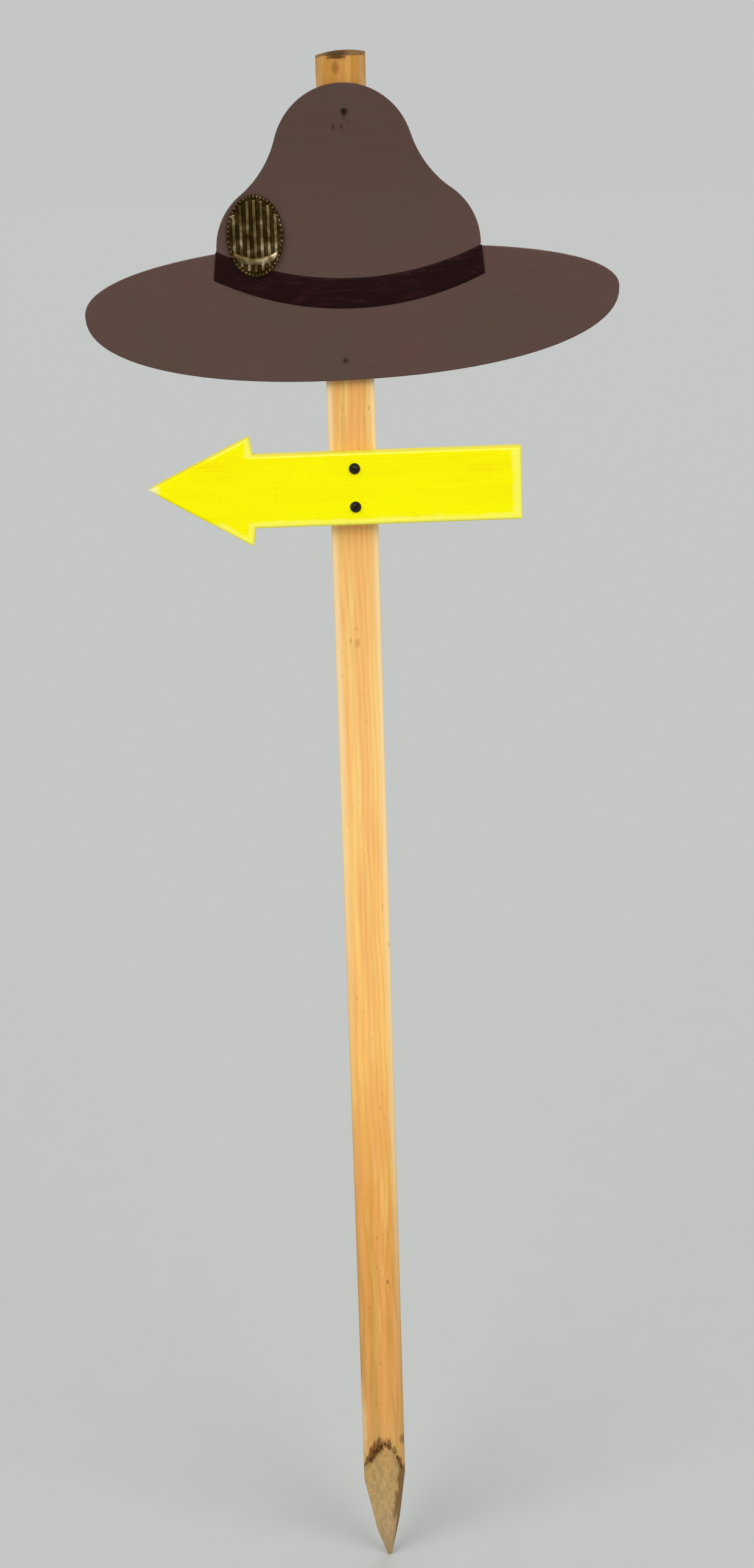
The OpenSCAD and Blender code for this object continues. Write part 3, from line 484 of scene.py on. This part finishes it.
def weathered_steel():
    """Wire nails whose bright steel has gone to dark brown rust: dull, with a little grey left."""
    made, tree, mm = new_finish("weathered_wire_steel")
    scale = add(tree, "TexNoise", {"Vector": mm, "Scale": 1.6, "Detail": 4.0, "Roughness": 0.7})
    colour = add(tree, "ValToRGB", {0: scale}, stops=[
        (0.35, "#140706"), (0.72, "#43342C"), (0.55, "#24160F"),
    ])
    # The hat's paint has lapped over the rim of the lower nail, and thinly over its middle
    from_nail = add(tree, "VectorMath", {0: mm, 1: LOWER_NAIL}, operation="SUBTRACT")
    from_nail = add(tree, "VectorMath", {0: from_nail, 1: (1.0, 0.0, 1.0)}, operation="MULTIPLY")
    from_nail = add(tree, "VectorMath", {0: from_nail}, out="Value", operation="LENGTH")
    from_nail = add(tree, "Math", {0: scale, 1: 1.2, 2: from_nail}, operation="MULTIPLY_ADD")
    lapped = add(tree, "MapRange", {0: from_nail, 1: 1.5, 2: 2.4, 3: 0.25, 4: 0.9}, **SMOOTH)
    is_lower = add(tree, "Math", {0: from_nail, 1: 10.0}, operation="LESS_THAN")
    lapped = add(tree, "Math", {0: lapped, 1: is_lower}, operation="MULTIPLY")
    colour = add(tree, "Mix", {FACTOR: lapped, A: colour, B: linear("#57423B")}, **COLOURS)
    bump = add(tree, "Bump", {"Strength": 0.6, "Distance": 0.00006, "Height": scale})
    surface = add(
        tree, "BsdfPrincipled",
        {
            "Base Color": colour, "Metallic": 0.2, "Roughness": 0.65, "Specular IOR Level": 0.1,
            "Normal": bump,
        },
    )
    add(tree, "OutputMaterial", {"Surface": surface})
    return made


def black_japan():
    """Round-head screws dipped in black japan: a warm black with a soft shine, brown where the
    driver has worn it through."""
    made, tree, mm = new_finish("black_japanned_steel")
    y = add(tree, "SeparateXYZ", {0: mm}, out=1)
    pits = add(tree, "TexNoise", {"Vector": mm, "Scale": 1.1, "Detail": 4.0, "Roughness": 0.65})
    crown = add(tree, "Math", {0: pits, 1: -3.2, 2: y}, operation="MULTIPLY_ADD")
    worn = add(tree, "MapRange", {0: crown, 1: -34.9, 2: -36.1, 3: 0.0, 4: 0.7}, **SMOOTH)
    colour = add(tree, "Mix", {FACTOR: worn, A: linear("#171006"), B: linear("#3C2D1C")}, **COLOURS)
    dull = add(tree, "MapRange", {0: pits, 1: 0.3, 2: 0.7, 3: 0.34, 4: 0.55})
    bump = add(tree, "Bump", {"Strength": 0.5, "Distance": 0.00008, "Height": pits})
    surface = add(
        tree, "BsdfPrincipled",
        {"Base Color": colour, "Roughness": dull, "Specular IOR Level": 0.2, "Normal": bump},
    )
    add(tree, "OutputMaterial", {"Surface": surface})
    return made


def arrow_planes():
    """The two straight-sided fields that make up the arrow, its head and its shaft, as lists of
    (inward normal, offset): a place's distance inside an edge is its dot product with the normal, less
    the offset. The corners turn with the board's tilt of 0.4 degrees about the screws. Distances from
    an edge are scaled by its share, so that the tail is rubbed further in, and the pale band runs
    further in along the lower edges as painted light."""
    tilt = math.radians(0.4)
    turn = np.array([[math.cos(tilt), -math.sin(tilt)], [math.sin(tilt), math.cos(tilt)]])
    head = np.array([[-165.8, 4.6], [-83.3, 44.0], [-83.3, -44.0]])
    shaft = np.array([[-140.0, 29.3], [133.0, 29.3], [133.0, -29.3], [-140.0, -29.3]])
    fields = []
    for corners, shares in ((head, (1.5, 1.0, 0.7)), (shaft, (1.5, 0.5, 0.65))):
        placed = corners @ turn.T + SCREW_MIDDLE + [0.0, -0.8]
        along = np.roll(placed, -1, axis=0) - placed
        along /= np.linalg.norm(along, axis=1, keepdims=True)
        inward = np.stack([along[:, 1], -along[:, 0]], axis=1)
        fields.append([
            (share * inward[i], share * float(inward[i] @ placed[i])) for i, share in enumerate(shares)
        ])
    return fields


def yellow_gloss_paint():
    """Board under brushed yellow gloss: strokes that run with the arrow, and a paler band about 4 mm
    wide where the paint has pulled thin over the rubbed edges, wider along the lower edges as painted
    light."""
    made, tree, mm = new_finish("brushed_yellow_paint")
    stroke = add(tree, "VectorMath", {0: mm, 1: (0.013, 0.5, 0.75)}, operation="MULTIPLY")
    brush = add(tree, "TexNoise", {"Vector": stroke, "Scale": 1.0, "Detail": 4.0, "Roughness": 0.6})
    wide = add(tree, "VectorMath", {0: mm, 1: (0.012, 0.1, 0.06)}, operation="MULTIPLY")
    patch = add(tree, "TexNoise", {"Vector": wide, "Scale": 1.0, "Detail": 4.0, "Roughness": 0.6})
    thick = add(tree, "Math", {0: brush, 1: 0.6, 2: patch}, operation="MULTIPLY_ADD")
    colour = add(tree, "ValToRGB", {0: thick}, stops=[
        (0.5, "#F4DC08"), (0.95, "#FBF402"), (0.68, "#F9EF02"),
    ])

    # Distance inside the arrow's outline: the nearest edge of the head or of the shaft
    fields = []
    for planes in arrow_planes():
        nearest = None
        for (px, pz), offset in planes:
            span = add(
                tree, "VectorMath", {0: mm, 1: (float(px), 0.0, float(pz))}, out="Value",
                operation="DOT_PRODUCT",
            )
            span = add(tree, "Math", {0: span, 1: offset}, operation="SUBTRACT")
            nearest = span if nearest is None else add(
                tree, "Math", {0: nearest, 1: span}, operation="MINIMUM"
            )
        fields.append(nearest)
    inside = add(tree, "Math", {0: fields[0], 1: fields[1]}, operation="MAXIMUM")
    # The pale band is thin paint over rubbed edges, and painted light where it runs wider along the
    # lower edges
    knocks = add(tree, "TexNoise", {"Vector": mm, "Scale": 0.11, "Detail": 4.0, "Roughness": 0.6})
    ragged = add(tree, "Math", {0: knocks, 1: -4.0, 2: inside}, operation="MULTIPLY_ADD")
    rubbed = add(tree, "MapRange", {0: ragged, 1: 0.4, 2: 2.4, 3: 0.9, 4: 0.0}, **SMOOTH)
    # The tip is knocked bare to the undercoat over its last 8 mm
    x = add(tree, "SeparateXYZ", {0: mm}, out=0)
    knocked = add(tree, "Math", {0: knocks, 1: -10.0, 2: x}, operation="MULTIPLY_ADD")
    tip = add(tree, "MapRange", {0: knocked, 1: -167.0, 2: -158.0, 3: 1.0, 4: 0.0}, **SMOOTH)
    colour = add(tree, "Mix", {FACTOR: rubbed, A: colour, B: linear("#F9F45C")}, **COLOURS)
    colour = add(tree, "Mix", {FACTOR: tip, A: colour, B: linear("#F6F0B4")}, **COLOURS)

    # What faces up is painted duller and greener: painted shade that tones down the lit top edges
    facing = add(tree, "NewGeometry", out="True Normal")
    up = add(tree, "SeparateXYZ", {0: facing}, out=2)
    dust = add(tree, "MapRange", {0: up, 1: 0.25, 2: 0.8, 3: 0.0, 4: 0.6}, **SMOOTH)
    colour = add(tree, "Mix", {FACTOR: dust, A: colour, B: linear("#CDBB2A")}, **COLOURS)

    # Small grey-brown marks, about 1 mm across and 4 mm long
    smear = add(tree, "VectorMath", {0: mm, 1: (0.22, 0.5, 0.8)}, operation="MULTIPLY")
    marks = add(tree, "TexNoise", {"Vector": smear, "Scale": 1.0, "Detail": 3.0})
    mark = add(tree, "MapRange", {0: marks, 1: 0.66, 2: 0.78, 3: 0.0, 4: 0.45}, **SMOOTH)
    colour = add(tree, "Mix", {FACTOR: mark, A: colour, B: linear("#C09A20")}, **COLOURS)
    bump = add(tree, "Bump", {"Strength": 1.0, "Distance": 0.00016, "Height": brush})
    dull = add(tree, "MapRange", {0: brush, 1: 0.3, 2: 0.7, 3: 0.4, 4: 0.56})
    surface = add(
        tree, "BsdfPrincipled",
        {"Base Color": colour, "Roughness": dull, "Specular IOR Level": 0.05, "Normal": bump},
    )
    add(tree, "OutputMaterial", {"Surface": surface})
    return made


def new_piece(name, corners, faces, finish):
    """A piece from corners in millimetres and faces of corner numbers, which rides on the sign."""
    mesh = bpy.data.meshes.new(name)
    mesh.from_pydata((corners * METRES).tolist(), [], faces)
    mesh.polygons.foreach_set("use_smooth", np.ones(len(mesh.polygons), dtype=bool))
    mesh.materials.append(finish)
    made = bpy.data.objects.new(name, mesh)
    bpy.context.scene.collection.objects.link(made)
    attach(made, "root")
    return made


def slivers(roots, ways, curls, lengths, widths, rows=6, sides=5):
    """Corners and faces of many torn fibres. Along a fibre, t runs from 0 at its root to 1 at its
    point, and its middle line is root + length (t way + t² curl). Its section is an oval, half a
    width by a fifth of a width, and shrinks as the square root of 1 - t. Both ends close in a pole."""
    last_ring = 0.86
    t = np.linspace(0.0, last_ring, rows)[None, :, None]
    length = lengths[:, None, None]
    line = roots[:, None, :] + length * (t * ways[:, None, :] + t ** 2 * curls[:, None, :])
    flat = np.cross(ways, np.array([0.0, 1.0, 0.0]))
    flat /= np.linalg.norm(flat, axis=1, keepdims=True)
    proud = np.cross(flat, ways)
    proud /= np.linalg.norm(proud, axis=1, keepdims=True)
    turn = np.linspace(0.0, 2 * np.pi, sides, endpoint=False)[None, None, :, None]
    size = (widths[:, None] * np.sqrt(1 - t[:, :, 0]))[:, :, None, None]
    rings = line[:, :, None, :] + size * (
        0.5 * np.cos(turn) * flat[:, None, None, :] + 0.2 * np.sin(turn) * proud[:, None, None, :]
    )
    points = roots + lengths[:, None] * (ways + curls)
    count, per = len(roots), rows * sides + 2
    corners = np.concatenate([rings.reshape(count, -1, 3), roots[:, None], points[:, None]], axis=1)
    row, side = np.meshgrid(np.arange(rows - 1), np.arange(sides), indexing="ij")
    here, there = row * sides + side, row * sides + (side + 1) % sides
    quads = np.stack([here, here + sides, there + sides, there], axis=-1).reshape(-1, 4)
    spoke, after = np.arange(sides), (np.arange(sides) + 1) % sides
    rim = (rows - 1) * sides
    root_cap = np.stack([spoke, after, np.full(sides, rows * sides)], axis=-1)
    point_cap = np.stack([after + rim, spoke + rim, np.full(sides, rows * sides + 1)], axis=-1)
    start = np.arange(count)[:, None, None] * per
    faces = [
        (start + part).reshape(-1, part.shape[1]).tolist() for part in (quads, root_cap, point_cap)
    ]
    return corners.reshape(-1, 3), sum(faces, [])


def spread(low, high, count):
    """Seeded numbers, spread evenly at random between two limits."""
    return random.uniform(low, high, count)


def point_fibres(finish):
    """Torn fibres that hang from the arched edge of the front cut. A root is on the stake's front face
    at height ARCH_TOP - ARCH_FALL (x - ARCH_X)². Two in three are on the left, and those are longer."""
    count, on_left = 150, 100
    left_end, middle, right_end = -13.5, -1.5, 16.5
    x = np.concatenate([spread(left_end, middle, on_left), spread(middle, right_end, count - on_left)])
    z = ARCH_TOP - ARCH_FALL * (x - ARCH_X) ** 2 + spread(-1.5, 1.0, count)
    roots = np.stack([x, np.full(count, -HALF_SIDE + 0.25), z], axis=1)
    ways = np.stack(
        [spread(-0.25, 0.25, count), spread(-0.02, 0.14, count), -np.ones(count)], axis=1
    )
    curls = np.stack(
        [spread(-0.1, 0.1, count), spread(-0.16, 0.03, count), np.zeros(count)], axis=1
    )
    lengths = np.where(x < middle, spread(4.0, 11.0, count), spread(2.0, 5.0, count))
    widths = spread(0.6, 1.5, count)
    ways /= np.linalg.norm(ways, axis=1, keepdims=True)
    corners, faces = slivers(roots, ways, curls, lengths, widths)
    new_piece("torn_fibres_at_point", corners, faces, finish)


def crushed_fibres(finish):
    """Fibres that hammering mushroomed over the front of the top. Roots follow the front edge, which
    is the lower of a ball of 75 mm radius about x = 4 and a roll of 40 mm radius, and each fibre
    leans out past the face and droops."""
    count, near_bruise = 110, 80
    ball, ball_x, roll, inset = 75.0, 4.0, 40.0, 0.6
    x = np.concatenate([spread(-10.5, 5.0, near_bruise), spread(-17.0, 17.0, count - near_bruise)])
    y = HALF_SIDE - inset
    dip = np.maximum(
        ball - np.sqrt(ball ** 2 - (x - ball_x) ** 2 - y ** 2), roll - math.sqrt(roll ** 2 - y ** 2)
    )
    bruised = np.abs(x + 3.0) < 7.0
    z = STAKE_TOP - dip - 0.3 - np.where(bruised, 0.7, 0.0)
    roots = np.stack([x, np.full(count, -y), z], axis=1)
    ways = np.stack(
        [spread(-0.5, 0.5, count), -spread(0.5, 1.0, count), spread(0.0, 0.5, count)], axis=1
    )
    ways /= np.linalg.norm(ways, axis=1, keepdims=True)
    curls = np.stack([np.zeros(count), np.zeros(count), -spread(0.6, 1.2, count)], axis=1)
    lengths = np.where(bruised, spread(0.8, 2.0, count), spread(0.4, 0.9, count))
    widths = spread(0.5, 1.2, count)
    corners, faces = slivers(roots, ways, curls, lengths, widths)
    new_piece("crushed_fibres_at_top", corners, faces, finish)


def band_strip(finish):
    """The band as a strip of cloth. Its lower edge is an arc of 243 mm radius and its height is
    23 mm everywhere, so a place w of the way up has height foot(x) + 23 w. Both ends slant by
    6 degrees about the corners of the crown. The front stands 1.2 mm out, falls to 0.4 mm at its
    rolled edges as the tenth power of the distance from the middle, and swells and sinks in slow
    waves along the strip. It was cut as an arc, 4790 square mm, out of a piece 46 by 211 mm, and is
    laid flat and stuck down."""
    stations, front_points, back_points = 260, 41, 9
    foot_drop, radius, width, lap = 4.8, 243.0, 23.0, 0.4
    edge, swell, wave_depth = 0.4, 0.8, 0.22
    front = 0.5 - 0.5 * np.cos(np.linspace(0.0, np.pi, front_points))
    w = np.concatenate([front, np.linspace(1.0, 0.0, back_points)])[None, :]
    on_front = np.concatenate([np.ones(front_points), np.zeros(back_points)])[None, :]
    u = np.linspace(0.0, 1.0, stations)[:, None]
    middle = (CROWN_LEFT + CROWN_RIGHT) / 2
    corner = width - foot_drop + radius - math.sqrt(radius ** 2 - CROWN_RIGHT ** 2)
    slant = math.tan(math.radians(6.0))
    x = CROWN_LEFT + u * (CROWN_RIGHT - CROWN_LEFT) + 0 * w
    # The height depends on x and the slanted ends on the height, so both settle in a few rounds
    for _ in range(4):
        z = radius - foot_drop - np.sqrt(radius ** 2 - (x - middle) ** 2) + width * w
        left = CROWN_LEFT - lap + slant * (z - corner)
        right = CROWN_RIGHT + lap - slant * (z - corner)
        x = left + u * (right - left)
    from_middle = np.abs(2 * w - 1)
    waves = 0.5 + 0.25 * np.sin(0.21 * x + 3.0 * w) + 0.25 * np.sin(0.083 * x - 2.0 * w + 1.0)
    thickness = (edge + (swell - wave_depth * waves) * (1 - from_middle ** 10)) * on_front
    corners = np.stack([x, HAT_FRONT - thickness, BRIM_MIDDLE + z], axis=-1)
    rows, around = x.shape
    row, side = np.meshgrid(np.arange(rows - 1), np.arange(around), indexing="ij")
    here, there = row * around + side, row * around + (side + 1) % around
    quads = np.stack([here, here + around, there + around, there], axis=-1).reshape(-1, 4)
    ends = [list(range(around)), list(range(rows * around - 1, (rows - 1) * around - 1, -1))]
    made = new_piece(
        "leathercloth_band", corners.reshape(-1, 3), quads.tolist() + ends, finish,
    )
    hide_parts("hat_band")


def soft_lamp(name, azimuth, elevation, level):
    """A soft lamp so far off that its light is even: a disc 40 degrees wide, at an azimuth round from
    the front and a height over the horizon in degrees. Its level is the light that a white card
    facing it would send back."""
    lamp = bpy.data.lights.new(name, "SUN")
    lamp.angle, lamp.energy = math.radians(40.0), math.pi * level
    made = bpy.data.objects.new(name, lamp)
    bpy.context.scene.collection.objects.link(made)
    turn, up = math.radians(azimuth), math.radians(elevation)
    towards = Vector((math.sin(turn) * math.cos(up), -math.cos(turn) * math.cos(up), math.sin(up)))
    made.rotation_euler = towards.to_track_quat("Z", "Y").to_euler()


def studio():
    """A plain pale floor that runs to the horizon, a pale sky of the same tone and soft lamps."""
    ground = bpy.data.meshes.new("floor")
    reach, drop = 30.0, -0.0003
    ground.from_pydata(
        [(-reach, -reach, drop), (reach, -reach, drop), (reach, reach, drop), (-reach, reach, drop)],
        [], [(0, 1, 2, 3)],
    )
    made, tree, mm = new_finish("pale_floor_paper")
    fleece = add(tree, "TexNoise", {"Vector": mm, "Scale": 0.02, "Detail": 3.0})
    tone = add(tree, "Mix", {FACTOR: fleece, A: linear("#B6B9B7"), B: linear("#BBBDBB")}, **COLOURS)
    paper = {"Base Color": tone, "Roughness": 0.95, "Specular IOR Level": 0.1}
    surface = add(tree, "BsdfPrincipled", paper)
    add(tree, "OutputMaterial", {"Surface": surface})
    ground.materials.append(made)
    floor = bpy.data.objects.new("floor", ground)
    bpy.context.scene.collection.objects.link(floor)

    world = bpy.data.worlds.new("pale_room")
    world.use_nodes = True
    tree = world.node_tree
    tree.nodes.clear()
    seen = add(tree, "LightPath", out="Is Camera Ray")
    for ray in ("Is Glossy Ray", "Is Transmission Ray"):
        seen = add(tree, "Math", {0: seen, 1: add(tree, "LightPath", out=ray)}, operation="MAXIMUM")
    fill = add(tree, "Background", {"Color": linear("#FFFFFF"), "Strength": 0.54})
    backdrop = add(tree, "Background", {"Color": linear("#C4C7C5"), "Strength": 1.0})
    sky = add(tree, "MixShader", {0: seen, 1: fill, 2: backdrop})
    add(tree, "OutputWorld", {"Surface": sky})
    bpy.context.scene.world = world

    soft_lamp("lamp_left", -42.0, 38.0, 0.435)
    soft_lamp("lamp_right", 44.0, 36.0, 0.36)
    soft_lamp("lamp_behind", 165.0, 45.0, 0.17)


def camera():
    """The photograph's angle: 1.76 m in front of the stake and 1.32 m up, looking 17.4 degrees down
    and rolled 1.7 degrees, with the field of a 50 mm lens on a 36 mm long side."""
    lens = bpy.data.cameras.new("camera")
    lens.lens, lens.sensor_width = 50.0, 36.0
    made = bpy.data.objects.new("camera", lens)
    bpy.context.scene.collection.objects.link(made)
    pitch, roll = math.radians(17.396), math.radians(-1.689)
    ahead = Vector((0.0, math.cos(pitch), -math.sin(pitch)))
    level = Vector((1.0, 0.0, 0.0))
    up = level.cross(ahead)
    right = level * math.cos(roll) + up * math.sin(roll)
    above = up * math.cos(roll) - level * math.sin(roll)
    turned = Matrix((right, above, -ahead)).transposed().to_4x4()
    made.matrix_world = Matrix.Translation((0.0117, -1.7581, 1.3164)) @ turned
    bpy.context.scene.camera = made


bpy.context.scene.view_settings.view_transform = "Standard"

pine = planed_pine()
steel = weathered_steel()
japan = black_japan()
cloth = leathercloth()
finishes = {
    "stake": pine,
    "hat_board": matt_brown_paint(),
    "hat_band": cloth,
    "hat_badge": old_brass(),
    "hat_nail_upper": steel,
    "hat_nail_lower": steel,
    "arrow_board": yellow_gloss_paint(),
    "arrow_screw_upper": japan,
    "arrow_screw_lower": japan,
}
for node, finish in finishes.items():
    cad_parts[node].material_slots[0].material = finish

fibre_finish = torn_fibre()
point_fibres(fibre_finish)
crushed_fibres(fibre_finish)
band_strip(cloth)

studio()
camera()
